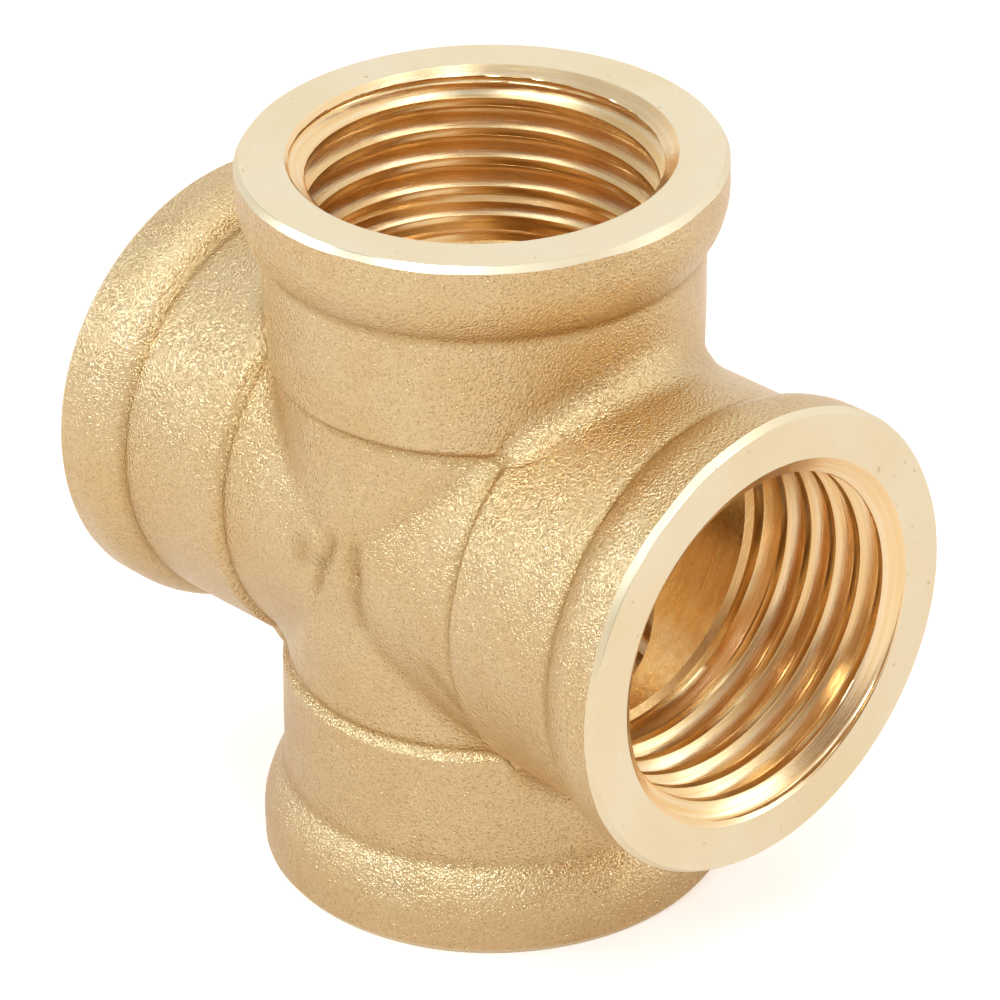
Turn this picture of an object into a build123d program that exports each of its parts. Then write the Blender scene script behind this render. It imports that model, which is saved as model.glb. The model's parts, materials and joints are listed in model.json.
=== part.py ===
"""Pipe cross: one forged brass body with four equal female G 1/2 ports.

The axes of the ports lie in the XZ plane and cross at the origin, which is also the middle of
the body. The upper and lower ports open towards +Z and -Z, the side ports towards +X and -X.
Every length is in millimetres.
"""
from build123d import *

import math
import os

os.makedirs("parts", exist_ok=True)

# ---- Places along a port, measured on its axis from the middle of the body ----
END_TO_CENTRE = 21.5  # the machined face
BEAD_EDGE = 19.8  # where the round shoulder under the bead begins
BEAD_FOOT = 16.2  # where that shoulder meets the neck
STEP_TOP = 10.2  # outer end of the small step between neck and core
STEP_FOOT = 8.8  # inner end of that step

# ---- Forged outside ----
FACE_RADIUS = 13.0  # outer edge of the machined face
BEAD_RADIUS = 13.27
NECK_RADIUS = 12.05  # under the bead
NECK_ROOT_RADIUS = 11.88  # at the step, after the forging draft
STANDING_CORE_RADIUS = 11.55  # between the upper and lower ports
LYING_CORE_RADIUS = 11.75  # between the side ports, where the forging is a little fuller
CROTCH_RADIUS = 2.4  # of the fillet between neighbouring ports
STEP_SINK = 0.1  # how far a port's inner end starts under the surface of the core

# ---- G 1/2 thread, and the bores it is cut in ----
THREAD_MAJOR_RADIUS = 20.955 / 2
TAP_DRILL_RADIUS = 19.0 / 2  # the wall of the tapped bore, which carries the thread's crests
TAP_DRILL_DEPTH = 10.4  # from the face to the shoulder that the tap drill leaves
TAP_DRILL_SLOPE = math.tan(math.radians(31))  # of that shoulder, from a drill point of 118 degrees
WATERWAY_RADIUS = 9.05  # of the drilled ways that cross in the middle

# ---- Machined edges ----
RIM_CHAMFER_DEPTH = 0.38  # along the axis, at the outer edge of the face
COUNTERSINK_RADIUS = THREAD_MAJOR_RADIUS + 0.07  # at the face
COUNTERSINK_DEPTH = COUNTERSINK_RADIUS - TAP_DRILL_RADIUS  # so that it slopes at 45 degrees

ALONG_X = (0, 90, 0)  # turns a standing cylinder to lie along X

# Each plane has its local Y along a pair of ports and its local X across them.
STANDING_PLANE = Plane.XZ
LYING_PLANE = Plane(origin=(0, 0, 0), x_dir=(0, 0, 1), z_dir=(0, 1, 0))


def port_outline(core_radius):
    """Edges of half of a port's section, from its axis to its outside. X is the radius and Y is
    the distance from the middle of the body. The shoulder under the bead is two tangent arcs,
    a large one that rolls off the bead and a small one that turns into the neck."""
    bead_edge = Vector(BEAD_RADIUS, BEAD_EDGE)
    bead_foot = Vector(NECK_RADIUS, BEAD_FOOT)
    bead_under = bead_foot + (bead_edge - bead_foot) / 6
    with BuildLine() as outline:
        Polyline(
            (0, STEP_FOOT),
            (core_radius - STEP_SINK, STEP_FOOT),
            (NECK_ROOT_RADIUS, STEP_TOP),
            bead_foot,
        )
        TangentArc(bead_foot, bead_under, tangent=(0, 1))
        TangentArc(bead_edge, bead_under, tangent=(0, -1))
        Polyline(
            bead_edge,
            (BEAD_RADIUS, END_TO_CENTRE - RIM_CHAMFER_DEPTH),
            (FACE_RADIUS, END_TO_CENTRE),
            (0, END_TO_CENTRE),
            (0, STEP_FOOT),
        )
    return outline.edges()


def bore_outline():
    """Edges of half of the space inside a port: shoulder, tapped bore and countersunk mouth."""
    shoulder = END_TO_CENTRE - TAP_DRILL_DEPTH
    with BuildLine() as outline:
        Polyline(
            (0, shoulder - TAP_DRILL_RADIUS * TAP_DRILL_SLOPE),
            (TAP_DRILL_RADIUS, shoulder),
            (TAP_DRILL_RADIUS, END_TO_CENTRE - COUNTERSINK_DEPTH),
            (COUNTERSINK_RADIUS, END_TO_CENTRE),
            (0, END_TO_CENTRE),
            close=True,
        )
    return outline.edges()


with BuildPart() as cross_body:
    # The core: two crossing cylinders, with a fillet in each crotch.
    Cylinder(STANDING_CORE_RADIUS, 2 * BEAD_FOOT)
    Cylinder(LYING_CORE_RADIUS, 2 * BEAD_FOOT, rotation=ALONG_X)
    crotches = cross_body.edges().filter_by(GeomType.BSPLINE)
    fillet(crotches, CROTCH_RADIUS)

    # The necks and beads of the four ports.
    with BuildSketch(STANDING_PLANE):
        make_face(port_outline(STANDING_CORE_RADIUS))
        mirror(about=Plane.XZ)
    revolve(axis=Axis.Z)
    with BuildSketch(LYING_PLANE):
        make_face(port_outline(LYING_CORE_RADIUS))
        mirror(about=Plane.XZ)
    revolve(axis=Axis.X)

    # The drilled ways, then the tapped bores with their shoulders and countersinks.
    Cylinder(WATERWAY_RADIUS, 2 * END_TO_CENTRE, mode=Mode.SUBTRACT)
    Cylinder(WATERWAY_RADIUS, 2 * END_TO_CENTRE, rotation=ALONG_X, mode=Mode.SUBTRACT)
    with BuildSketch(STANDING_PLANE):
        make_face(bore_outline())
        mirror(about=Plane.XZ)
    revolve(axis=Axis.Z, mode=Mode.SUBTRACT)
    with BuildSketch(LYING_PLANE):
        make_face(bore_outline())
        mirror(about=Plane.XZ)
    revolve(axis=Axis.X, mode=Mode.SUBTRACT)

cross_body.part.label = "cross_body"
export_step(cross_body.part, "parts/cross_body.step")
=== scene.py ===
"""Looks of a forged brass pipe cross: its blasted skin, its machined faces and its threads.

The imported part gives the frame. The body is built here again in finer detail: the forged outside
with its beads, necks, steps and crotches, and inside each port a countersunk mouth, a cut pipe
thread, a shoulder and the drilled ways that cross in the middle.
"""

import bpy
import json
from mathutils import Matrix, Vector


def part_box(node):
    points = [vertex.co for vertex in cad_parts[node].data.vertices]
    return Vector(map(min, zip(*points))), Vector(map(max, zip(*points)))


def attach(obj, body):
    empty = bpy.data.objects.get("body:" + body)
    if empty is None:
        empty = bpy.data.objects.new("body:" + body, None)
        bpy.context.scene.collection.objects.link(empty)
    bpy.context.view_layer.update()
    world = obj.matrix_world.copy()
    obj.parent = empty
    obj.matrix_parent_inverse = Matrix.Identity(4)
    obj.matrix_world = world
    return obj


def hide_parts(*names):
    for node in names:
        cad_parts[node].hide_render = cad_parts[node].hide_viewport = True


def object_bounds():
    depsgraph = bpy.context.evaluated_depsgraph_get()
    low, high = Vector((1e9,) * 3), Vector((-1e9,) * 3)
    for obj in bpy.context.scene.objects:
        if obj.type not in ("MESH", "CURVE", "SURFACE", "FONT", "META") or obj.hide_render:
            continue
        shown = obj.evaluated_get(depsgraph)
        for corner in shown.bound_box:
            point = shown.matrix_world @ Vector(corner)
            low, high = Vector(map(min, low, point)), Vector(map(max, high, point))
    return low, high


bl_info = {
    "name": "Brass pipe cross",
    "version": (1, 0, 0),
    "blender": (4, 5, 0),
    "location": "View3D > Sidebar > Pipe cross",
    "description": "Builds a forged brass pipe cross with four tapped ports, and its studio",
    "category": "Object",
}

import json
import math

import bmesh
import bpy
import numpy as np
from bpy.props import FloatProperty, FloatVectorProperty, IntProperty, PointerProperty
from mathutils import Matrix, Vector

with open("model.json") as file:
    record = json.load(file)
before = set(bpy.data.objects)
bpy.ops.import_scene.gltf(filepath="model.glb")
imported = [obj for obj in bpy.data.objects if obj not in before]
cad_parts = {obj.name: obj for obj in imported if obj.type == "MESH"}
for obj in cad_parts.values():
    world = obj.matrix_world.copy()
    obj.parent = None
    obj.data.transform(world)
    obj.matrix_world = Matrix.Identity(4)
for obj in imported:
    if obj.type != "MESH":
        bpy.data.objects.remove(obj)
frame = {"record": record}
CAD_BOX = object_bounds()
RECORD = frame["record"]
NODE = "cross_body"
BODY = "root"
MM = 0.001  # metres in a millimetre
FULL_TURN = 2 * math.pi


def mount_size(name, key):
    """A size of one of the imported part's mounts, in millimetres."""
    for mount in RECORD["mounts"]:
        if mount["name"] == name:
            return mount["dims"][key]
    raise RuntimeError(f"the packed part has no mount named {name}")


LOW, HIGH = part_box(NODE)
HALF_LENGTH = (HIGH.z - LOW.z) / 2 / MM
BEAD = (HIGH.y - LOW.y) / 2 / MM
TAP_DRILL = mount_size("upper_port", "r_mm")


def length_of(label, description, millimetres):
    """A property for a length. It is given here in millimetres, and Blender keeps metres."""
    return FloatProperty(
        name=label, description=description, default=millimetres * MM, min=0,
        subtype="DISTANCE", precision=5,
    )


def colour_of(label, description, default):
    """A property for a colour."""
    return FloatVectorProperty(
        name=label, description=description, default=default, min=0, max=1, subtype="COLOR",
    )


class CrossSizes(bpy.types.PropertyGroup):
    """Sizes of the body."""

    end_to_centre: length_of("End to centre", "From the middle to a port's face", HALF_LENGTH)
    bead_radius: length_of("Bead radius", "Radius of the bead round a port", BEAD)
    face_radius: length_of("Face radius", "Outer radius of a machined face", BEAD - 0.27)
    bead_edge: length_of(
        "Bead edge", "From the middle to where a bead's shoulder begins", HALF_LENGTH - 1.7
    )
    neck_radius: length_of("Neck radius", "Radius of a neck just under its bead", 12.05)
    neck_root_radius: length_of("Neck root radius", "Radius of a neck at the step", 11.88)
    core_radius: length_of("Core radius", "Radius of the standing run inside the steps", 11.55)
    step_place: length_of("Step place", "From the middle to the step between core and neck", 9.5)
    step_width: length_of("Step width", "Length of that step along the port", 0.6)
    crotch_radius: length_of("Crotch radius", "Radius of the fillet between two ports", 2.2)
    rim_chamfer: length_of("Rim chamfer", "Depth of the chamfer round a face", 0.38)
    thread_major: length_of("Thread major radius", "Radius of the thread's root", 20.955 / 2)
    tap_drill: length_of("Tap drill radius", "Radius of the thread's crests", TAP_DRILL)
    pitch: length_of("Pitch", "From one turn of the thread to the next", 25.4 / 14)
    tapped_depth: length_of("Tapped depth", "From a face to the tap drill's shoulder", 10.4)
    waterway_radius: length_of("Waterway radius", "Radius of the drilled ways", 9.05)
    columns: IntProperty(
        name="Columns", description="Divisions round each port", default=128, min=24, max=720,
    )


class BrassLooks(bpy.types.PropertyGroup):
    """Colours of the brass, painted shade among them, and where its chamfers and shoulders begin.
    """

    skin: colour_of(
        "Blasted skin", "Colour of the forged and blasted brass", (0.765, 0.57, 0.32)
    )
    skin_shade: colour_of(
        "Blasted skin, warmer", "Colour of the warmer patches of the skin", (0.74, 0.525, 0.27)
    )
    # Painted shade and grime: the colour that the skin's crotches, roots and folds are darkened
    # towards; the grain's pits and the faces' nicks are darkened towards it too.
    hollow: colour_of(
        "Hollows", "Colour in the pits, roots and crotches of the skin", (0.52, 0.33, 0.13)
    )
    machined: colour_of("Machined brass", "Colour of the turned faces", (0.87, 0.76, 0.54))
    machined_shade: colour_of(
        "Machined brass, warmer", "Colour of the warmer clouds on the faces", (0.85, 0.71, 0.46)
    )
    bore: colour_of("Cut thread", "Colour of the brass inside the ports", (0.95, 0.745, 0.47))
    bore_shade: colour_of(
        "Cut thread, warmer", "Colour of the warmer lines inside the ports", (0.90, 0.60, 0.275)
    )
    # Painted shade and warm reflected light deep in the threads, at their roots and crests away
    # from the mouth.
    groove: colour_of(
        "Thread, deep", "Colour of the roots and crests of the thread", (0.89, 0.61, 0.29)
    )
    drilled: colour_of(
        "Drilled way", "Colour of the drilled walls deep in the body", (0.95, 0.70, 0.36)
    )
    # Also the painted shade and warm reflection of the tap drill's shoulder.
    drilled_shade: colour_of(
        "Drilled way, warmer", "Colour of the warmer streaks of the drilled walls",
        (0.88, 0.56, 0.23),
    )
    chamfer_from: length_of("Chamfer from", "Radius beyond which a rim is duller", BEAD - 0.25)
    # Where the painted shade and warm reflection of the tap drill's shoulder begin.
    shoulder_from: length_of(
        "Shoulder from", "Radius beyond which a drilled wall is a shoulder", 9.07
    )


class InMillimetres:
    """A property group's values as plain numbers, with its lengths in millimetres."""

    def __init__(self, group):
        for name in type(group).__annotations__:
            is_length = group.bl_rna.properties[name].subtype == "DISTANCE"
            value = getattr(group, name)
            setattr(self, name, value / MM if is_length else value)


# ---- The forged outside, as a surface worked out from two runs and the fillets between them ----


class Port:
    """One port: its axis, the direction across it in the plane of the cross, and what differs from
    port to port in a real forging."""

    def __init__(self, axis, across, fuller, bead_foot, turn, sink, crease):
        self.axis = np.array(axis, float)
        self.across = np.array(across, float)
        self.side = np.cross(self.axis, self.across)  # makes a right-handed frame
        self.fuller = fuller  # added to the radii of core and neck
        self.bead_foot = bead_foot  # from the middle to the end of the bead's shoulder
        self.turn = turn  # where the thread starts, as a part of a turn
        self.sink = sink  # depth of the countersink, in mm
        self.crease = crease  # depth of the groove where the bead meets the neck, in mm

    def place(self, radius, angle, along):
        """Points at a radius and an angle round the port's axis, at a distance along it."""
        return (
            (radius * np.cos(angle))[..., None] * self.across
            + (radius * np.sin(angle))[..., None] * self.side
            + np.broadcast_to(along, radius.shape)[..., None] * self.axis
        )


UPPER = Port(
    (0, 0, 1), (1, 0, 0), fuller=0.0, bead_foot=16.2, turn=0.99, sink=1.05, crease=0.07
)
RIGHT = Port(
    (1, 0, 0), (0, 0, 1), fuller=0.2, bead_foot=17.0, turn=0.135, sink=0.72, crease=0.09
)
LOWER = Port(
    (0, 0, -1), (-1, 0, 0), fuller=0.0, bead_foot=16.0, turn=0.60, sink=0.95, crease=0.0
)
LEFT = Port(
    (-1, 0, 0), (0, 0, -1), fuller=0.2, bead_foot=16.8, turn=0.80, sink=0.90, crease=0.13
)
PORTS = (UPPER, RIGHT, LOWER, LEFT)


def smooth(low, high, value):
    """0 below low, 1 above high, and an even curve between them."""
    part = np.clip((value - low) / (high - low), 0, 1)
    return part * part * (3 - 2 * part)


# From here to the end of the mesh, lengths are in millimetres.
FOOT_WIDTH = 0.30  # of the small groove at the foot of a step
FOOT_DEPTH = 0.10
CREASE_WIDTH = 0.42  # of the groove where a bead meets its neck
CREASE_PLACE = 0.25  # from the end of the bead's shoulder to that groove
ROLL = 5 / 6  # the large arc's part of a bead's shoulder
HALVINGS = 44  # in the search for the surface
NEAREST_SKIN = 6.0  # no point of the outside is nearer to a port's axis
NEAREST_CROTCH = 8.0  # nor any point of a crotch to the middle
FARTHEST = 20.0


def forged_radius(sizes, port, along):
    """Radius of the forging round a port's axis, at a distance from the middle of the body."""
    core = sizes.core_radius + port.fuller
    root = sizes.neck_root_radius + port.fuller
    neck = sizes.neck_radius + port.fuller
    half_step = sizes.step_width / 2
    radius = core + (root - core) * smooth(
        sizes.step_place - half_step, sizes.step_place + half_step, along
    )
    foot = (along - sizes.step_place + half_step) / FOOT_WIDTH
    radius = radius - FOOT_DEPTH * np.exp(-foot * foot)
    taper = np.clip((along - sizes.step_place) / (port.bead_foot - sizes.step_place), 0, 1)
    radius = radius + (neck - root) * taper
    # The shoulder under the bead: a large arc rolls off the bead, a small one turns into the neck.
    rise = sizes.bead_radius - neck
    run = sizes.bead_edge - port.bead_foot
    lean = 2 * math.atan(rise / run)
    both = run / math.sin(lean)
    large = both * ROLL
    small = both * (1 - ROLL)
    off_edge = np.clip(sizes.bead_edge - along, 0, large * math.sin(lean))
    off_foot = np.clip(along - port.bead_foot, 0, small * math.sin(lean))
    on_large = sizes.bead_radius - large + np.sqrt(large**2 - off_edge**2)
    on_small = neck + small - np.sqrt(small**2 - off_foot**2)
    knee = port.bead_foot + small * math.sin(lean)
    radius = np.where(along >= knee, on_large, np.where(along > port.bead_foot, on_small, radius))
    crease = (along - port.bead_foot - CREASE_PLACE) / CREASE_WIDTH
    return radius - port.crease * np.exp(-crease * crease)


def run_radius(sizes, forward, backward, along):
    """Radius of a straight run, whose two ports may differ a little, at a signed distance."""
    ahead = forged_radius(sizes, forward, np.abs(along))
    behind = forged_radius(sizes, backward, np.abs(along))
    return np.where(along >= 0, ahead, behind)


def outside(sizes, points):
    """How far points lie outside the forging: the union of the two runs, with a rolled fillet."""
    x, y, z = points[..., 0], points[..., 1], points[..., 2]
    from_standing = np.hypot(x, y)
    from_lying = np.hypot(y, z)
    standing = from_standing - run_radius(sizes, UPPER, LOWER, z)
    lying = from_lying - run_radius(sizes, RIGHT, LEFT, x)
    agree = np.clip(y * y / np.maximum(from_standing * from_lying, 1e-9), 0, 0.9999)
    a = standing - sizes.crotch_radius
    b = lying - sizes.crotch_radius
    spread = 1 - agree**2
    share_a = (a - agree * b) / spread
    share_b = (b - agree * a) / spread
    ball = np.sqrt(np.maximum(a * a - 2 * agree * a * b + b * b, 0) / spread)
    in_fillet = (share_a < 0) & (share_b < 0)
    return np.where(in_fillet, sizes.crotch_radius - ball, np.minimum(standing, lying))


def on_surface(sizes, start, direction, low, high):
    """Distances from start along direction at which the forging's surface lies."""
    low = np.array(np.broadcast_to(low, start.shape[:-1]), float)
    high = np.array(np.broadcast_to(high, start.shape[:-1]), float)
    for _ in range(HALVINGS):
        middle = (low + high) / 2
        out = outside(sizes, start + middle[..., None] * direction) > 0
        high = np.where(out, middle, high)
        low = np.where(out, low, middle)
    return (low + high) / 2


def surface_normals(sizes, points, reach=0.02):
    """Unit normals of the forging's surface."""
    slopes = []
    for axis in range(3):
        step = np.zeros(3)
        step[axis] = reach
        slopes.append(outside(sizes, points + step) - outside(sizes, points - step))
    normals = np.stack(slopes, axis=-1)
    return normals / np.linalg.norm(normals, axis=-1, keepdims=True)


# Large odd numbers that scramble a grid point's place into a number.
SCRAMBLE = (374761393, 668265263, 2147483647)
SCRAMBLE_SEED = 1274126177
SCRAMBLE_AGAIN = 1103515245
SCRAMBLE_SHIFT = 12345
POSITIVE = 0x7FFFFFFF  # keeps a number positive and below 2 to the 31st
TWO_BYTES = 0xFFFF


def lattice_noise(points, seed):
    """Smooth value noise from -1 to 1 with a grid of one unit, the same on every run."""
    cell = np.floor(points).astype(np.int64)
    part = points - cell
    ease = part * part * (3 - 2 * part)
    total = np.zeros(points.shape[:-1])
    for corner in range(8):
        shift = np.array([corner & 1, corner >> 1 & 1, corner >> 2 & 1])
        spot = cell + shift
        mixed = (spot @ np.array(SCRAMBLE) + seed * SCRAMBLE_SEED) & POSITIVE
        mixed = ((mixed ^ (mixed >> 13)) * SCRAMBLE_AGAIN + SCRAMBLE_SHIFT) & POSITIVE
        value = ((mixed >> 8) & TWO_BYTES) / (TWO_BYTES / 2) - 1
        weight = np.prod(np.where(shift, ease, 1 - ease), axis=-1)
        total += weight * value
    return total


# The skin's low lumps: a height, a size and a seed.
LUMPS = ((0.040, 4.1, 3), (0.022, 1.9, 5), (0.010, 1.05, 8))
# Folds and dents that the die left in the skin: a start, an end, half a width and a depth.
FOLDS = (
    ((-0.1, -11.6, 2.1), (-1.5, -11.7, -1.4), 0.32, 0.22),
    ((1.6, -11.6, 2.2), (1.8, -11.7, 0.6), 0.42, 0.20),
    ((1.8, -11.7, 0.6), (1.95, -11.6, -2.1), 0.48, 0.15),
    ((-2.3, -11.7, 0.9), (-2.6, -11.6, 0.2), 0.63, 0.12),
    ((7.3, -11.2, -3.0), (9.2, -10.2, -5.8), 0.65, 0.10),
    ((13.2, -8.2, 8.5), (17.1, -7.6, 9.2), 0.31, 0.10),
    ((8.1, 11.0, 3.3), (9.6, 10.3, 5.9), 0.63, 0.14),
    ((-0.9, 11.6, -1.9), (1.2, 11.7, 1.3), 0.45, 0.17),
)
# Ridges, in the same way.
RIDGES = (
    ((0.75, -11.6, 2.6), (0.75, -11.6, 0.8), 0.49, 0.12),
    ((3.8, -11.4, 3.2), (3.2, -11.5, 1.4), 0.70, 0.09),
    ((-2.7, -11.4, -2.4), (-3.4, -11.1, -6.8), 0.77, 0.10),
    ((-2.6, -11.5, 2.9), (-2.9, -11.5, 1.6), 0.49, 0.09),
)


def stroke(points, start, end, half_width):
    """1 on the straight stroke from start to end, and falling to 0 over about half_width."""
    start = np.array(start)
    way = np.array(end) - start
    part = np.clip((points - start) @ way / (way @ way), 0, 1)
    off = np.linalg.norm(points - start - part[..., None] * way, axis=-1)
    return np.exp(-((off / half_width) ** 2))


def forging_lumps(points):
    """How far the hammered and blasted skin stands above or below its drawn shape, in mm."""
    lumps = sum(height * lattice_noise(points / size, seed) for height, size, seed in LUMPS)
    for start, end, half_width, depth in FOLDS:
        lumps -= depth * stroke(points, start, end, half_width)
    for start, end, half_width, height in RIDGES:
        lumps += height * stroke(points, start, end, half_width)
    return lumps


# ---- The mesh ----


class Skin:
    """Collects the points and faces of the body, and welds what coincides."""

    def __init__(self):
        self.points = []
        self.faces = []
        self.finish = []
        self.count = 0

    def add(self, points):
        """Adds points and returns their numbers, in the same arrangement."""
        shape = points.shape[:-1]
        self.points.append(points.reshape(-1, 3))
        numbers = np.arange(self.count, self.count + int(np.prod(shape))).reshape(shape)
        self.count += numbers.size
        return numbers

    def face(self, corners, finish):
        self.faces.append(corners)
        self.finish.append(finish)

    def band(self, one, other, finish):
        """Quads between two rings of points."""
        one = one.tolist()
        other = other.tolist()
        for i in range(len(one)):
            self.face((one[i - 1], one[i], other[i], other[i - 1]), finish)

    def sheet(self, rings, finish):
        for one, other in zip(rings[:-1], rings[1:]):
            self.band(one, other, finish)


BLASTED, TURNED, TAPPED, DRILLED = range(4)  # finishes, in the order of the body's materials
FORGED_ROWS = 58  # from the crotch line to the foot of a bead
BEAD_ROWS = 26  # over the bead
SINK_ROWS = 26  # over a countersink
WATERWAY_ROWS = 16
CROTCH_REACH = 14.6  # beyond this distance a port is plain round
COLUMN_DRIFT = 0.2  # how strongly the columns gather at the front and the back
FINE_STEPS = 1200  # in the sum that spaces the rows
HAIR = 0.01  # kept between the last row and the chamfer
MOUTH_ROOM = 0.07  # by which a mouth's radius is larger than the thread's root
FACE_BORDER = 0.9  # width of the face's outermost ring of quads
MOUTH_BORDER = 0.8  # and of its innermost


def angles_round(sizes):
    """The columns' angles, closer together at the front and the back, where the creases are."""
    even = np.arange(sizes.columns) * FULL_TURN / sizes.columns
    return even + COLUMN_DRIFT * np.sin(2 * even)


def row_places(first, last, count, crowds):
    """Places from first to last for each column. A crowd is a place near which rows are closer
    together, how far that reaches, and how strong it is."""
    fine = np.linspace(0, last, FINE_STEPS)
    density = np.ones_like(fine)
    for place, width, crowd in crowds:
        density += crowd * np.exp(-(((fine - place) / width) ** 2))
    total = np.concatenate([[0], np.cumsum((density[1:] + density[:-1]) / 2)])
    start = np.interp(first, fine, total)
    parts = np.linspace(0, 1, count + 1)[1:, None]
    return np.interp(start + (total[-1] - start) * parts, total, fine)


def crotch_line(sizes, port, angle):
    """The outside's points halfway between a port and its neighbours, one for each column."""
    direction = port.place(np.ones_like(angle), angle, np.abs(np.cos(angle)))
    start = np.zeros_like(direction)
    reach = on_surface(sizes, start, direction, NEAREST_CROTCH, FARTHEST)
    return reach[..., None] * direction


def forged_skin(sizes, skin, port):
    """The blasted outside of one port. Returns the ring where it meets the rim's chamfer."""
    angle = angles_round(sizes)
    line = crotch_line(sizes, port, angle)
    first = line @ port.axis
    step_foot = sizes.step_place - sizes.step_width / 2
    crowds = ((step_foot, 0.3, 3.0), (sizes.step_place + 0.2, 0.4, 1.5))
    lower_rows = row_places(first, CROTCH_REACH, FORGED_ROWS, crowds)
    chamfer_slope = (sizes.bead_radius - sizes.face_radius) / sizes.rim_chamfer
    near_rim = port.place(
        np.full_like(angle, sizes.bead_radius), angle, sizes.end_to_centre - sizes.rim_chamfer
    )
    proud = sizes.bead_radius + forging_lumps(near_rim)
    rim = sizes.end_to_centre - (proud - sizes.face_radius) / chamfer_slope
    reach = float(rim.min()) - HAIR
    crowds = ((port.bead_foot + 0.3, 0.6, 3.0), (sizes.bead_edge - 0.3, 0.8, 1.0))
    upper_rows = row_places(np.full_like(rim, CROTCH_REACH), reach, BEAD_ROWS, crowds)
    upper_rows = np.vstack([upper_rows, rim])
    along = np.vstack([lower_rows, upper_rows])
    angle_grid = np.broadcast_to(angle, along.shape)
    start = port.place(np.zeros_like(along), angle_grid, along)
    direction = port.place(np.ones_like(along), angle_grid, np.zeros_like(along))
    limit = np.minimum(along / np.maximum(np.abs(np.cos(angle_grid)), 1e-6), FARTHEST)
    radius = on_surface(sizes, start, direction, NEAREST_SKIN, limit + 1e-4)
    points = start + radius[..., None] * direction
    points = np.concatenate([line[None], points])
    points = points + surface_normals(sizes, points) * forging_lumps(points)[..., None]
    points[-1] = port.place(proud, angle, rim)
    rings = skin.add(points)
    skin.sheet(rings, BLASTED)
    return rings[-1]


def turned_face(sizes, skin, port, rim_ring):
    """The rim's chamfer and the flat face. Returns the ring at the mouth."""
    angle = angles_round(sizes)
    mouth = sizes.thread_major + MOUTH_ROOM
    face_rings = []
    for radius in (
        sizes.face_radius, sizes.face_radius - FACE_BORDER, mouth + MOUTH_BORDER, mouth
    ):
        ring = port.place(np.full_like(angle, radius), angle, sizes.end_to_centre)
        face_rings.append(skin.add(ring))
    skin.band(rim_ring, face_rings[0], TURNED)
    skin.sheet(face_rings, TURNED)
    return face_rings[-1]


FLANK_ANGLE = math.radians(27.5)  # of a pipe thread
ROOT_PER_PITCH = 0.137329  # radius of its root, for a pitch of 1
BROKEN_CORNER = 0.06  # of a crest
FADE_START = 0.5  # from a thread's inner end to where it begins to show
FADE_PITCHES = 1.1  # over which it then comes to its full depth
END_GAP = 0.05  # from the tap drill's shoulder to the thread's last ring
SINK_PAST = 0.12  # by which the mouth's flat rings go past the countersink
ROW_GAP = 0.012  # kept free of the helix's points beside a flat ring
SHOULDER_SLOPE = math.tan(math.radians(31))  # of the shoulder that the tap drill leaves


def groove_rows(sizes):
    """One pitch of the thread as distances from a groove's middle and radii: a rounded root, two
    flanks and a crest with its corners just broken."""
    flank = FLANK_ANGLE
    root = ROOT_PER_PITCH * sizes.pitch
    round_end = (root * math.cos(flank), sizes.thread_major - root * (1 - math.sin(flank)))
    corner = round_end[0] + (round_end[1] - sizes.tap_drill) * math.tan(flank)
    broken = BROKEN_CORNER
    half = [
        (0.0, sizes.thread_major),
        (root * math.cos(flank) * 0.55, sizes.thread_major - root * 0.13),
        round_end,
        (corner - broken * math.sin(flank), sizes.tap_drill + broken * math.cos(flank)),
        (corner + broken * 0.2, sizes.tap_drill + broken * 0.22),
        (corner + broken, sizes.tap_drill),
    ]
    rows = [(-distance, radius) for distance, radius in reversed(half[1:])]
    return np.array(rows + half)


def thread_radius(sizes, port, angle, along):
    """Radius of the threaded wall at any place, with the thread fading out at its inner end."""
    rows = groove_rows(sizes)
    place = along - sizes.pitch * (angle / FULL_TURN + port.turn)
    off = (place / sizes.pitch + 0.5) % 1.0 * sizes.pitch - sizes.pitch / 2
    radius = np.interp(off, rows[:, 0], rows[:, 1], left=sizes.tap_drill, right=sizes.tap_drill)
    inner = sizes.end_to_centre - sizes.tapped_depth
    shown = np.clip((along - inner - FADE_START) / (FADE_PITCHES * sizes.pitch), 0, 1)
    return np.minimum(
        radius, sizes.tap_drill + shown * (sizes.thread_major - sizes.tap_drill)
    )


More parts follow.
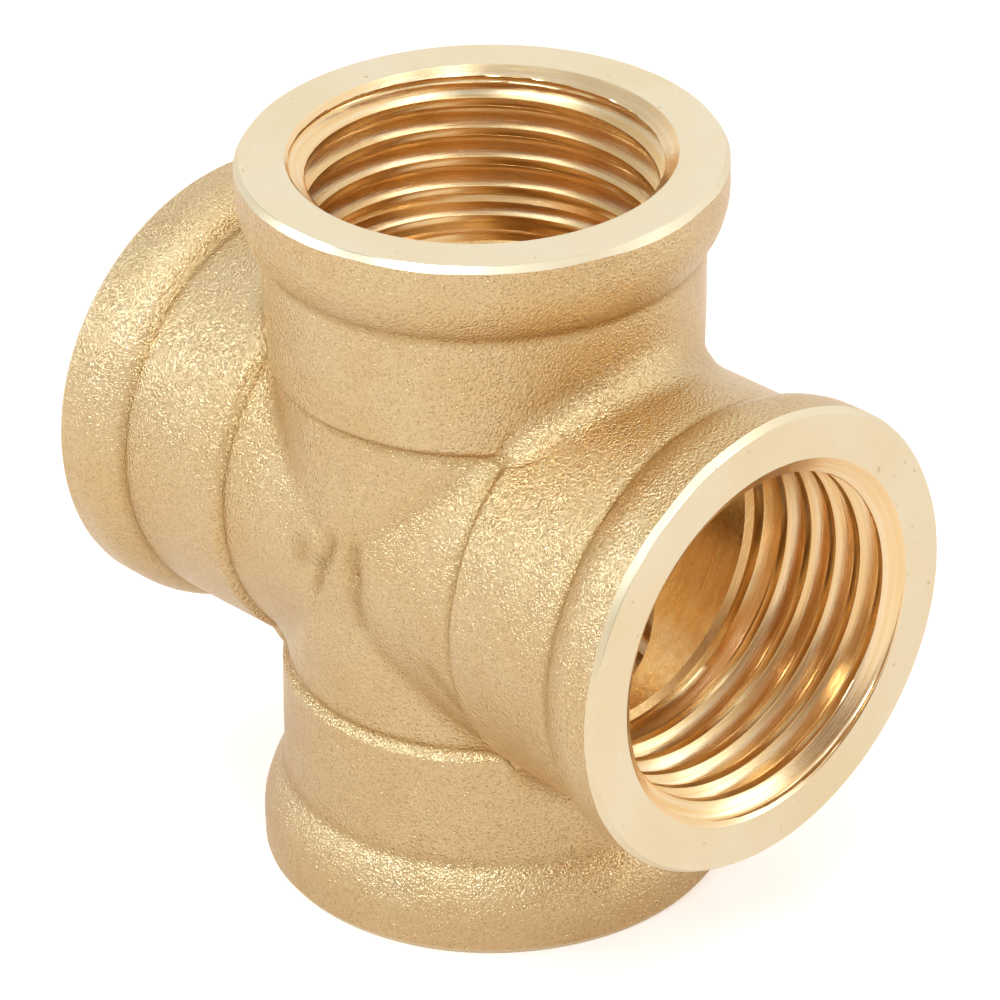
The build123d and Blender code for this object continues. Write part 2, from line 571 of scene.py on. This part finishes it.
def tapped_bore(sizes, skin, port, mouth_ring):
    """Countersink and thread. Returns the ring at the thread's inner end."""
    angle = angles_round(sizes)
    count = sizes.columns
    mouth = sizes.thread_major + MOUTH_ROOM
    sink_slope = (mouth - sizes.tap_drill) / port.sink
    cut = sizes.end_to_centre - port.sink - SINK_PAST
    inner = sizes.end_to_centre - sizes.tapped_depth + END_GAP
    # The mouth, in flat rings: the countersink, wherever it is wider than the thread.
    levels = np.linspace(sizes.end_to_centre, cut, SINK_ROWS)
    rings = [mouth_ring]
    for level in levels[1:]:
        cone = mouth - (sizes.end_to_centre - level) * sink_slope
        radius = np.maximum(thread_radius(sizes, port, angle, level), cone)
        rings.append(skin.add(port.place(radius, angle, level)))
    skin.sheet(rings, TAPPED)
    top_ring = rings[-1]
    # The thread, in rows that follow its helix.
    pattern = groove_rows(sizes)
    per_turn = len(pattern)
    first_turn = math.floor((inner / sizes.pitch) - port.turn) - 2
    last_turn = math.ceil((cut / sizes.pitch) - port.turn) + 2
    row_place = np.concatenate(
        [(turn + port.turn) * sizes.pitch + pattern[:, 0] for turn in range(first_turn, last_turn)]
    )
    along = row_place[:, None] + sizes.pitch * angle / FULL_TURN
    inside = (along > inner + ROW_GAP) & (along < cut - ROW_GAP)
    radius = thread_radius(sizes, port, np.broadcast_to(angle, along.shape), along)
    numbers = np.full(along.shape, -1)
    spots = port.place(radius, np.broadcast_to(angle, along.shape), along)
    numbers[inside] = skin.add(spots[inside])
    end_radius = thread_radius(sizes, port, angle, inner)
    end_ring = skin.add(port.place(end_radius, angle, inner))
    for i in range(count):
        j = (i + 1) % count
        shift = per_turn if j == 0 else 0
        here = numbers[:, i]
        there = np.full_like(here, -1)
        there[: len(there) - shift] = numbers[shift:, j]
        both = np.nonzero((here >= 0) & (there >= 0))[0]
        low, high = int(both[0]), int(both[-1])
        for k in range(low, high):
            skin.face((here[k], there[k], there[k + 1], here[k + 1]), TAPPED)
        above_here = [n for n in here[high:] if n >= 0]
        above_there = [n for n in there[high:] if n >= 0]
        skin.face(above_here + [top_ring[i], top_ring[j]] + above_there[::-1], TAPPED)
        below_here = [n for n in here[: low + 1] if n >= 0]
        below_there = [n for n in there[: low + 1] if n >= 0]
        skin.face(below_there + below_here[::-1] + [end_ring[i], end_ring[j]], TAPPED)
    return end_ring


def drilled_way(sizes, skin, port, end_ring):
    """The shoulder that the tap drill leaves, and the port's part of the ways in the middle."""
    angle = angles_round(sizes)
    way = np.full_like(angle, sizes.waterway_radius)
    shoulder = sizes.end_to_centre - sizes.tapped_depth
    shoulder_ring = skin.add(port.place(np.full_like(angle, sizes.tap_drill), angle, shoulder))
    skin.band(end_ring, shoulder_ring, DRILLED)
    lip = shoulder - (sizes.tap_drill - way) * SHOULDER_SLOPE
    crossing = way * np.abs(np.cos(angle))
    rings = [shoulder_ring]
    for part in np.linspace(0, 1, WATERWAY_ROWS):
        rings.append(skin.add(port.place(way, angle, lip + (crossing - lip) * part)))
    skin.sheet(rings, DRILLED)


WELD_REACH = 1e-7  # in metres
CRISP_ANGLE = math.radians(24)  # edges that bend more than this aren't shaded smooth


def weld(mesh_data, skin):
    """Makes a closed mesh of the collected faces."""
    points = np.concatenate(skin.points)
    work = bmesh.new()
    corners = [work.verts.new(point) for point in points * MM]
    for numbers, finish in zip(skin.faces, skin.finish):
        face = work.faces.new([corners[n] for n in numbers])
        face.material_index = finish
        face.smooth = True
    bmesh.ops.remove_doubles(work, verts=work.verts, dist=WELD_REACH)
    bmesh.ops.recalc_face_normals(work, faces=work.faces)
    for edge in work.edges:
        if not edge.is_manifold:
            raise RuntimeError("the body's mesh isn't closed")
        if edge.calc_face_angle(0) > CRISP_ANGLE:
            edge.smooth = False
    work.to_mesh(mesh_data)
    work.free()


def mark_port_places(mesh):
    """Gives each corner of each face its distances along and from its own port's axis, in mm."""
    points = np.empty(len(mesh.vertices) * 3)
    mesh.vertices.foreach_get("co", points)
    points = points.reshape(-1, 3) / MM
    corner_points = np.empty(len(mesh.loops), dtype=np.int32)
    mesh.loops.foreach_get("vertex_index", corner_points)
    sizes_of_faces = np.empty(len(mesh.polygons), dtype=np.int32)
    mesh.polygons.foreach_get("loop_total", sizes_of_faces)
    middles = np.empty(len(mesh.polygons) * 3)
    mesh.polygons.foreach_get("center", middles)
    reach = middles.reshape(-1, 3) @ np.array([port.axis for port in PORTS]).T
    axes = np.array([port.axis for port in PORTS])[np.argmax(reach, axis=1)]
    axes = np.repeat(axes, sizes_of_faces, axis=0)
    spots = points[corner_points]
    along = np.sum(spots * axes, axis=1)
    away = np.linalg.norm(spots - along[:, None] * axes, axis=1)
    places = np.stack([along, away, np.zeros_like(along)], axis=1)
    layer = mesh.attributes.new("port_place", "FLOAT_VECTOR", "CORNER")
    layer.data.foreach_set("vector", places.ravel())


DARKEST_FOLD = 0.14  # depth of a fold whose painted shade and grime are as dark as a crotch's
HOLLOW_REACH = 0.9  # how far round a point its neighbours are looked at
HOLLOW_WAYS = 8  # and in how many directions
FLAT_RISE = 0.01  # how far the neighbours of a plain point stand outside the skin
HOLLOW_RISE = -0.22  # and those of the deepest hollows
ODD_WAY = (0.31, 0.87, 0.38)  # a direction that no part of the skin faces squarely


def mark_hollows(mesh, sizes):
    """Gives each point a number that grows where the forged skin is sunken, at roots, crotches and
    folds: where its painted shade and grime go.
    """
    points = np.empty(len(mesh.vertices) * 3)
    mesh.vertices.foreach_get("co", points)
    points = points.reshape(-1, 3) / MM
    normals = np.empty(len(mesh.vertices) * 3)
    mesh.vertices.foreach_get("normal", normals)
    normals = normals.reshape(-1, 3)
    first = np.cross(normals, ODD_WAY)
    first /= np.linalg.norm(first, axis=1, keepdims=True)
    second = np.cross(normals, first)
    rise = np.zeros(len(points))
    for turn in np.arange(HOLLOW_WAYS) * FULL_TURN / HOLLOW_WAYS:
        step = math.cos(turn) * first + math.sin(turn) * second
        rise += outside(sizes, points + HOLLOW_REACH * step) / HOLLOW_WAYS
    rise -= outside(sizes, points)
    hollow = smooth(FLAT_RISE, HOLLOW_RISE, rise)
    for start, end, half_width, depth in FOLDS:
        fold = depth / DARKEST_FOLD * stroke(points, start, end, half_width)
        hollow = np.maximum(hollow, np.minimum(fold, 1))
    layer = mesh.attributes.new("hollow", "FLOAT", "POINT")
    layer.data.foreach_set("value", hollow)


# ---- Materials ----


class Bench:
    """A node tree being built: adds nodes, sets their sockets and wires them."""

    def __init__(self, tree):
        self.tree = tree

    def node(self, kind, inputs=None, **settings):
        """Adds a node. An input is a value, or another node's output to wire in."""
        made = self.tree.nodes.new(kind)
        for key, value in settings.items():
            setattr(made, key, value)
        for key, value in (inputs or {}).items():
            if isinstance(value, bpy.types.NodeSocket):
                self.tree.links.new(value, made.inputs[key])
            else:
                made.inputs[key].default_value = value
        return made

    def math(self, operation, one, other=0.0, third=0.0):
        made = self.node("ShaderNodeMath", operation=operation)
        for socket, value in zip(made.inputs, (one, other, third)):
            if isinstance(value, bpy.types.NodeSocket):
                self.tree.links.new(value, socket)
            else:
                socket.default_value = value
        return made.outputs[0]

    def span(self, value, low, high, to_low=0.0, to_high=1.0):
        """Stretches a value from one range to another and keeps it inside."""
        made = self.node(
            "ShaderNodeMapRange",
            {
                "Value": value, "From Min": low, "From Max": high,
                "To Min": to_low, "To Max": to_high,
            },
        )
        return made.outputs["Result"]

    def blend(self, part, one, other):
        """Mixes two colours."""
        made = self.node("ShaderNodeMix", data_type="RGBA")
        for index, value in ((0, part), (6, one), (7, other)):
            if isinstance(value, bpy.types.NodeSocket):
                self.tree.links.new(value, made.inputs[index])
            elif index:
                made.inputs[index].default_value = (*value[:3], 1)
            else:
                made.inputs[index].default_value = value
        return made.outputs[2]

    def noise(self, vector, scale, detail=2.0, roughness=0.5, distortion=0.0):
        made = self.node(
            "ShaderNodeTexNoise",
            {"Vector": vector, "Scale": scale, "Detail": detail, "Roughness": roughness,
             "Distortion": distortion},
        )
        return made.outputs["Fac"]

    def vector_math(self, operation, one, other=(0, 0, 0), scale=1.0):
        made = self.node("ShaderNodeVectorMath", {0: one, 1: other}, operation=operation)
        if isinstance(scale, bpy.types.NodeSocket):
            self.tree.links.new(scale, made.inputs["Scale"])
        return made.outputs["Value" if operation == "DOT_PRODUCT" else "Vector"]

    def spot(self):
        """The place on the body, in metres."""
        return self.node("ShaderNodeTexCoord").outputs["Object"]

    def attribute(self, name, output):
        return self.node("ShaderNodeAttribute", attribute_name=name).outputs[output]

    def along_and_away(self):
        """The distances along and from the port's axis, in mm."""
        place = self.attribute("port_place", "Vector")
        parts = self.node("ShaderNodeSeparateXYZ", {"Vector": place}).outputs
        return parts["X"], parts["Y"]

    def group(self, tree, **values):
        """Places a node group with its own values. A blank in a socket's name is an underscore."""
        made = self.node("ShaderNodeGroup", node_tree=tree)
        for key, value in values.items():
            made.inputs[key.replace("_", " ")].default_value = value
        return made.outputs


def group_of(name, inputs, outputs):
    """A new shader node group with float sockets."""
    tree = bpy.data.node_groups.new(name, "ShaderNodeTree")
    for label, default in inputs:
        socket = tree.interface.new_socket(label, in_out="INPUT", socket_type="NodeSocketFloat")
        socket.default_value = default
    for label in outputs:
        tree.interface.new_socket(label, in_out="OUTPUT", socket_type="NodeSocketFloat")
    bench = Bench(tree)
    return tree, bench, bench.node("NodeGroupInput"), bench.node("NodeGroupOutput")


# How often a pattern repeats in a metre.
WANDER = 300.0  # of a tool's lines
SKIN_PATCHES = 160.0
SKIN_DULLNESS = 420.0
FACE_CLOUDS = 140.0
NICKS = 1500.0
TEARS = 2600.0
SCRATCHES = 8000.0
STREAKS = 1800.0
# Depths of the bumps, in metres.
GRAIN_DEPTH = 0.000085
FACE_LINES_DEPTH = 0.000006
THREAD_LINES_DEPTH = 0.00001
SCRATCH_DEPTH = 0.000017
# The least and the most rough spots of each finish.
BLASTED_ROUGHNESS = (0.22, 0.30)
TURNED_ROUGHNESS = (0.16, 0.30)
TAPPED_ROUGHNESS = (0.16, 0.29)
DRILLED_ROUGHNESS = (0.24, 0.38)
# Radii between which a colour comes in, in mm. The first three place the painted shade deep in a
# thread.
THREAD_ROOT = (10.0, 10.3)
THREAD_CREST = (9.75, 9.56)
THREAD_START = (20.7, 20.4)  # distances from the middle
SOFT_EDGE = 0.03
# The part of a noise's range that is used, because it rarely goes beyond.
MIDDLE = (0.35, 0.65)
WIDE = (0.3, 0.7)


def lay_of_cut():
    """Node group: fine lines that a cutting tool leaves round a port's axis.

    Lines are the same distance from an axis all the way round, apart from a slight drift.
    """
    tree = bpy.data.node_groups.get("Lay of cut")
    if tree:
        return tree
    tree, bench, sockets, out = group_of(
        "Lay of cut", (("Lines per mm", 8.0), ("Drift", 0.2)), ("Lines", "Broad"),
    )
    wander = bench.node(
        "ShaderNodeTexNoise", {"Vector": bench.spot(), "Scale": WANDER, "Detail": 1.0}
    )
    drift = bench.vector_math("SUBTRACT", wander.outputs["Color"], (0.5, 0.5, 0.5))
    drift = bench.vector_math("SCALE", drift, scale=sockets.outputs["Drift"])
    moved = bench.vector_math("ADD", bench.attribute("port_place", "Vector"), drift)
    fine = bench.noise(moved, sockets.outputs["Lines per mm"], 3.0, 0.65)
    slow = bench.math("MULTIPLY", sockets.outputs["Lines per mm"], 0.22)
    broad = bench.noise(moved, slow, 1.0)
    tree.links.new(fine, out.inputs["Lines"])
    tree.links.new(broad, out.inputs["Broad"])
    return tree


def blast_grain():
    """Node group: the grain that shot blasting leaves, as a height, and a mask of its pits."""
    tree = bpy.data.node_groups.get("Blast grain")
    if tree:
        return tree
    tree, bench, sockets, out = group_of(
        "Blast grain", (("Grains per mm", 6.0),), ("Height", "Pits")
    )
    spot = bench.spot()
    scale = bench.math("MULTIPLY", sockets.outputs["Grains per mm"], 1 / MM)
    grain = bench.noise(spot, scale, 1.0, distortion=0.4)
    shot = bench.node(
        "ShaderNodeTexVoronoi",
        {"Vector": spot, "Scale": bench.math("MULTIPLY", scale, 0.75), "Smoothness": 0.35},
        feature="SMOOTH_F1",
    ).outputs["Distance"]
    tree.links.new(bench.math("MULTIPLY_ADD", shot, 0.4, grain), out.inputs["Height"])
    tree.links.new(bench.span(grain, 0.46, 0.30), out.inputs["Pits"])
    return tree


def brass_material(name, roughness):
    """A material of bare brass. Returns it, its bench and its shader."""
    material = bpy.data.materials.new(name)
    material.use_nodes = True
    shader = material.node_tree.nodes["Principled BSDF"]
    shader.inputs["Metallic"].default_value = 1.0
    shader.inputs["Roughness"].default_value = sum(roughness) / 2
    return material, Bench(material.node_tree), shader


def wire(bench, output, shader, name):
    bench.tree.links.new(output, shader.inputs[name])


def finish_brass(bench, shader, colour, roughness, height, depth, strength):
    """Wires a brass surface's colour, roughness and bump to its shader."""
    bump = bench.node(
        "ShaderNodeBump", {"Height": height, "Distance": depth, "Strength": strength}
    )
    wire(bench, colour, shader, "Base Color")
    wire(bench, roughness, shader, "Roughness")
    wire(bench, bump.outputs["Normal"], shader, "Normal")


def blasted_brass(looks):
    """The forged skin: yellow brass, blasted to a glittering grain, browner in its hollows, where
    shade and grime are painted in.
    """
    material, bench, shader = brass_material("blasted_brass", BLASTED_ROUGHNESS)
    grain = bench.group(blast_grain(), Grains_per_mm=7.2)
    spot = bench.spot()
    patches = bench.span(bench.noise(spot, SKIN_PATCHES, 3.0, 0.6), 0.38, 0.64)
    colour = bench.blend(patches, looks.skin, looks.skin_shade)
    # Painted shade and grime: the skin turns darker and browner in its crotches, roots and folds.
    hollow = bench.math("MULTIPLY", bench.attribute("hollow", "Fac"), 0.7)
    colour = bench.blend(hollow, colour, looks.hollow)
    pits = bench.math("MULTIPLY", grain["Pits"], 0.5)
    colour = bench.blend(pits, colour, looks.hollow)
    dull = bench.span(
        bench.noise(spot, SKIN_DULLNESS, 3.0, 0.6), *MIDDLE, *BLASTED_ROUGHNESS
    )
    finish_brass(bench, shader, colour, dull, grain["Height"], GRAIN_DEPTH, 1.0)
    return material


def turned_brass(looks):
    """A machined face: smooth, with the faint rings of the facing tool and a few nicks."""
    material, bench, shader = brass_material("turned_brass", TURNED_ROUGHNESS)
    lay = bench.group(lay_of_cut(), Lines_per_mm=7.0, Drift=0.25)
    spot = bench.spot()
    clouds = bench.span(bench.noise(spot, FACE_CLOUDS), *MIDDLE)
    colour = bench.blend(clouds, looks.machined, looks.machined_shade)
    nicks = bench.span(bench.noise(spot, NICKS, 1.0), 0.74, 0.80)
    colour = bench.blend(bench.math("MULTIPLY", nicks, 0.5), colour, looks.hollow)
    _, away = bench.along_and_away()
    chamfer = bench.span(away, looks.chamfer_from, looks.chamfer_from + SOFT_EDGE)
    dull = bench.span(lay["Broad"], *WIDE, *TURNED_ROUGHNESS)
    dull = bench.math("MULTIPLY_ADD", chamfer, 0.13, dull)
    height = bench.math("MULTIPLY_ADD", nicks, -1.5, lay["Lines"])
    finish_brass(bench, shader, colour, dull, height, FACE_LINES_DEPTH, 0.7)
    return material


def tapped_brass(looks):
    """Cut threads: bright, with drawn lines along the turns, and darker and warmer at the roots
    and crests away from the mouth, where shade and warm reflected light are painted in."""
    material, bench, shader = brass_material("tapped_brass", TAPPED_ROUGHNESS)
    lay = bench.group(lay_of_cut(), Lines_per_mm=11.0, Drift=0.15)
    colour = bench.blend(bench.span(lay["Broad"], *MIDDLE), looks.bore, looks.bore_shade)
    along, away = bench.along_and_away()
    # Painted shade and warm reflected light: the roots and crests turn darker and warmer, fading
    # out towards the mouth.
    painted_depth_shade = bench.math(
        "MAXIMUM", bench.span(away, *THREAD_ROOT), bench.span(away, *THREAD_CREST)
    )
    painted_depth_shade = bench.math("MULTIPLY", painted_depth_shade, bench.span(along, *THREAD_START, 0.0, 0.85))
    colour = bench.blend(painted_depth_shade, colour, looks.groove)
    dull = bench.span(lay["Lines"], *WIDE, *TAPPED_ROUGHNESS)
    torn = bench.noise(bench.spot(), TEARS, 2.0, 0.6)
    height = bench.math("MULTIPLY_ADD", torn, 0.35, lay["Lines"])
    finish_brass(bench, shader, colour, dull, height, THREAD_LINES_DEPTH, 0.8)
    return material


def drilled_brass(looks):
    """The drilled ways: satin, with the drill's slanting scratches, and painted shade and warm
    reflection on the shoulder.
    """
    material, bench, shader = brass_material("drilled_brass", DRILLED_ROUGHNESS)
    slanted = bench.node(
        "ShaderNodeMapping",
        {
            "Vector": bench.spot(), "Rotation": (math.radians(-27), 0, 0),
            "Scale": (1, 1, 18),  # so much longer than they are wide
        },
        vector_type="TEXTURE",
    ).outputs["Vector"]
    scratches = bench.noise(slanted, SCRATCHES, 2.0, 0.6)
    streaks = bench.span(bench.noise(slanted, STREAKS, 1.0), *MIDDLE)
    colour = bench.blend(streaks, looks.drilled, looks.drilled_shade)
    _, away = bench.along_and_away()
    # Painted shade and warm reflection: the shoulder is turned towards the warmer drilled colour.
    shoulder = bench.span(away, looks.shoulder_from, looks.shoulder_from + SOFT_EDGE)
    colour = bench.blend(bench.math("MULTIPLY", shoulder, 0.8), colour, looks.drilled_shade)
    dull = bench.span(scratches, *WIDE, *DRILLED_ROUGHNESS)
    finish_brass(bench, shader, colour, dull, scratches, SCRATCH_DEPTH, 0.8)
    return material


# ---- Operators ----


class CROSS_OT_body(bpy.types.Operator):
    """Build the brass body: the forged outside, the machined ports and the drilled ways"""

    bl_idname = "pipe_cross.body"
    bl_label = "Brass body"

    def execute(self, context):
        sizes = InMillimetres(context.scene.cross_sizes)
        looks = InMillimetres(context.scene.brass_looks)
        skin = Skin()
        for port in PORTS:
            rim_ring = forged_skin(sizes, skin, port)
            mouth_ring = turned_face(sizes, skin, port, rim_ring)
            end_ring = tapped_bore(sizes, skin, port, mouth_ring)
            drilled_way(sizes, skin, port, end_ring)
        mesh = bpy.data.meshes.new("brass_body")
        weld(mesh, skin)
        mark_port_places(mesh)
        mark_hollows(mesh, sizes)
        body = bpy.data.objects.new("brass_body", mesh)
        context.scene.collection.objects.link(body)
        for finish in (blasted_brass, turned_brass, tapped_brass, drilled_brass):
            mesh.materials.append(finish(looks))
        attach(body, BODY)
        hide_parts(NODE)
        return {"FINISHED"}


CAMERA_AZIMUTH = math.radians(47.35)
CAMERA_ELEVATION = math.radians(30.59)
CAMERA_ROLL = math.radians(-1.33)
CAMERA_DISTANCE = 0.30145  # in metres, as the two below
CAMERA_ASIDE = (0.000534, -0.000089)  # to the right and up
CAMERA_CLIP = (0.01, 20)
CAMERA_LENS = 196.3  # in millimetres, as the sensor's width
CAMERA_SENSOR = 36


def aim_camera(scene):
    """A long lens, 30 cm off, looking down at the front right of the cross."""
    back = Vector((
        math.sin(CAMERA_AZIMUTH) * math.cos(CAMERA_ELEVATION),
        -math.cos(CAMERA_AZIMUTH) * math.cos(CAMERA_ELEVATION),
        math.sin(CAMERA_ELEVATION),
    ))
    level = Vector((math.cos(CAMERA_AZIMUTH), math.sin(CAMERA_AZIMUTH), 0))
    rise = back.cross(level)
    right = level * math.cos(CAMERA_ROLL) + rise * math.sin(CAMERA_ROLL)
    up = rise * math.cos(CAMERA_ROLL) - level * math.sin(CAMERA_ROLL)
    turn = Matrix((right, up, back)).transposed().to_4x4()
    data = bpy.data.cameras.new("camera")
    data.lens = CAMERA_LENS
    data.sensor_width = CAMERA_SENSOR
    data.clip_start, data.clip_end = CAMERA_CLIP
    camera = bpy.data.objects.new("camera", data)
    spot = back * CAMERA_DISTANCE + right * CAMERA_ASIDE[0] + up * CAMERA_ASIDE[1]
    camera.matrix_world = Matrix.Translation(spot) @ turn
    scene.collection.objects.link(camera)
    scene.camera = camera


LAMP_COLOUR = (0.74, 0.87, 1.0)  # a little cooler than the surround
# Soft lamps: a name, a place and the length of a side in metres, and the power in watts.
LAMPS = (
    ("left_softbox", (-0.55, -0.61, 0.38), 0.18, 1.6),
    ("front_softbox", (0.12, -0.68, 0.58), 0.11, 1.5),
    ("front_strip", (0.343, -0.549, 0.625), 0.12, 1.0),
    ("right_softbox", (0.45, -0.18, 0.74), 0.22, 0.5),
    ("low_right_softbox", (0.72, 0.54, 0.21), 0.35, 0.9),
    ("overhead_left", (-0.17, -0.15, 0.85), 0.34, 0.9),
    ("overhead_right", (0.27, 0.26, 0.85), 0.34, 0.9),
)
WHITE = (1.0, 1.0, 1.0)
PAPER = (0.84, 0.75, 0.68)  # what the floor throws back on to the brass
PAPER_GLOW = (0.05, 0.44)  # of the floor, as the brass sees it and as the camera does
FLOOR_REACH = 6.0  # from the middle to an edge of the floor, in metres
BACKDROP = 1.03  # strength of the surround where the camera sees it
# Dimmer parts of the surround, which only the brass sees: a direction, and the dot products with
# it between which the part comes in.
LAMP_SIDE = ((-0.26, -0.78, 0.57), (0.15, 0.75))
DOORWAY = ((0.995, -0.02, 0.06), (0.86, 0.975))
CEILING_GAP = ((0.071, 0.076, 0.995), (0.984, 0.997))
# The strength that is left in the middle of each.
LAMP_SIDE_LEVEL = 0.6
DOORWAY_LEVEL = 0.22
CEILING_GAP_LEVEL = 0.35
DOORWAY_TINT = (1.0, 0.62, 0.36)


def soft_lamp(scene, name, place, size, power):
    """A square soft light that faces the middle of the body."""
    data = bpy.data.lights.new(name, "AREA")
    data.shape = "SQUARE"
    data.size = size
    data.energy = power
    data.color = LAMP_COLOUR
    lamp = bpy.data.objects.new(name, data)
    lamp.location = place
    lamp.rotation_euler = (-Vector(place)).to_track_quat("-Z", "Y").to_euler()
    scene.collection.objects.link(lamp)


def lay_floor(scene):
    """A white paper floor under the body."""
    mesh = bpy.data.meshes.new("floor")
    reach, level = FLOOR_REACH, CAD_BOX[0][2]
    corners = [
        (-reach, -reach, level), (reach, -reach, level), (reach, reach, level),
        (-reach, reach, level),
    ]
    mesh.from_pydata(corners, [], [(0, 1, 2, 3)])
    floor = bpy.data.objects.new("floor", mesh)
    scene.collection.objects.link(floor)
    paper = bpy.data.materials.new("white_paper")
    paper.use_nodes = True
    shader = paper.node_tree.nodes["Principled BSDF"]
    shader.inputs["Base Color"].default_value = (*PAPER, 1)
    shader.inputs["Emission Color"].default_value = (*WHITE, 1)
    shader.inputs["Roughness"].default_value = 0.9
    shader.inputs["Specular IOR Level"].default_value = 0.1
    bench = Bench(paper.node_tree)
    seen = bench.node("ShaderNodeLightPath").outputs["Is Camera Ray"]
    wire(bench, bench.span(seen, 0.0, 1.0, *PAPER_GLOW), shader, "Emission Strength")
    mesh.materials.append(paper)


def part_of_sky(bench, direction, edges):
    """1 where the surround is looked at in a direction, and 0 away from it."""
    way = bench.node("ShaderNodeTexCoord").outputs["Generated"]
    return bench.span(bench.vector_math("DOT_PRODUCT", way, direction), *edges)


def light_sky(scene):
    """A surround that is plain white where the camera sees it. For the brass it is dimmer where
    the lamps stand, straight overhead, and in a warm patch to the right like a doorway, so that
    the threads have something dark to mirror."""
    world = bpy.data.worlds.new("studio")
    world.use_nodes = True
    bench = Bench(world.node_tree)
    backdrop = world.node_tree.nodes["Background"]
    seen = bench.node("ShaderNodeLightPath").outputs["Is Camera Ray"]
    unseen = bench.math("SUBTRACT", 1.0, seen)
    doorway = bench.math("MULTIPLY", part_of_sky(bench, *DOORWAY), unseen)
    level = 1.0
    for part, left in (
        (part_of_sky(bench, *LAMP_SIDE), LAMP_SIDE_LEVEL),
        (doorway, DOORWAY_LEVEL),
        (part_of_sky(bench, *CEILING_GAP), CEILING_GAP_LEVEL),
    ):
        level = bench.math("MULTIPLY", level, bench.span(part, 0.0, 1.0, 1.0, left))
    level = bench.math("MAXIMUM", level, bench.math("MULTIPLY", seen, BACKDROP))
    wire(bench, bench.blend(doorway, WHITE, DOORWAY_TINT), backdrop, "Color")
    wire(bench, level, backdrop, "Strength")
    scene.world = world


class CROSS_OT_stage(bpy.types.Operator):
    """Set up the pale floor, the soft studio light and the camera"""

    bl_idname = "pipe_cross.stage"
    bl_label = "Studio"

    def execute(self, context):
        scene = context.scene
        aim_camera(scene)
        lay_floor(scene)
        light_sky(scene)
        for lamp in LAMPS:
            soft_lamp(scene, *lamp)
        scene.view_settings.view_transform = "Standard"
        return {"FINISHED"}


class CROSS_PT_panel(bpy.types.Panel):
    """Lists the pieces and the studio"""

    bl_label = "Pipe cross"
    bl_idname = "CROSS_PT_panel"
    bl_space_type = "VIEW_3D"
    bl_region_type = "UI"
    bl_category = "Pipe cross"

    def draw(self, context):
        layout = self.layout
        layout.operator(CROSS_OT_body.bl_idname)
        layout.operator(CROSS_OT_stage.bl_idname)
        for name in CrossSizes.__annotations__:
            layout.prop(context.scene.cross_sizes, name)
        for name in BrassLooks.__annotations__:
            layout.prop(context.scene.brass_looks, name)


CLASSES = (CrossSizes, BrassLooks, CROSS_OT_body, CROSS_OT_stage, CROSS_PT_panel)


def register():
    for kind in CLASSES:
        bpy.utils.register_class(kind)
    bpy.types.Scene.cross_sizes = PointerProperty(type=CrossSizes)
    bpy.types.Scene.brass_looks = PointerProperty(type=BrassLooks)


def unregister():
    del bpy.types.Scene.brass_looks
    del bpy.types.Scene.cross_sizes
    for kind in reversed(CLASSES):
        bpy.utils.unregister_class(kind)


def main():
    register()
    bpy.ops.pipe_cross.body()
    bpy.ops.pipe_cross.stage()


if __name__ == "__main__":
    main()
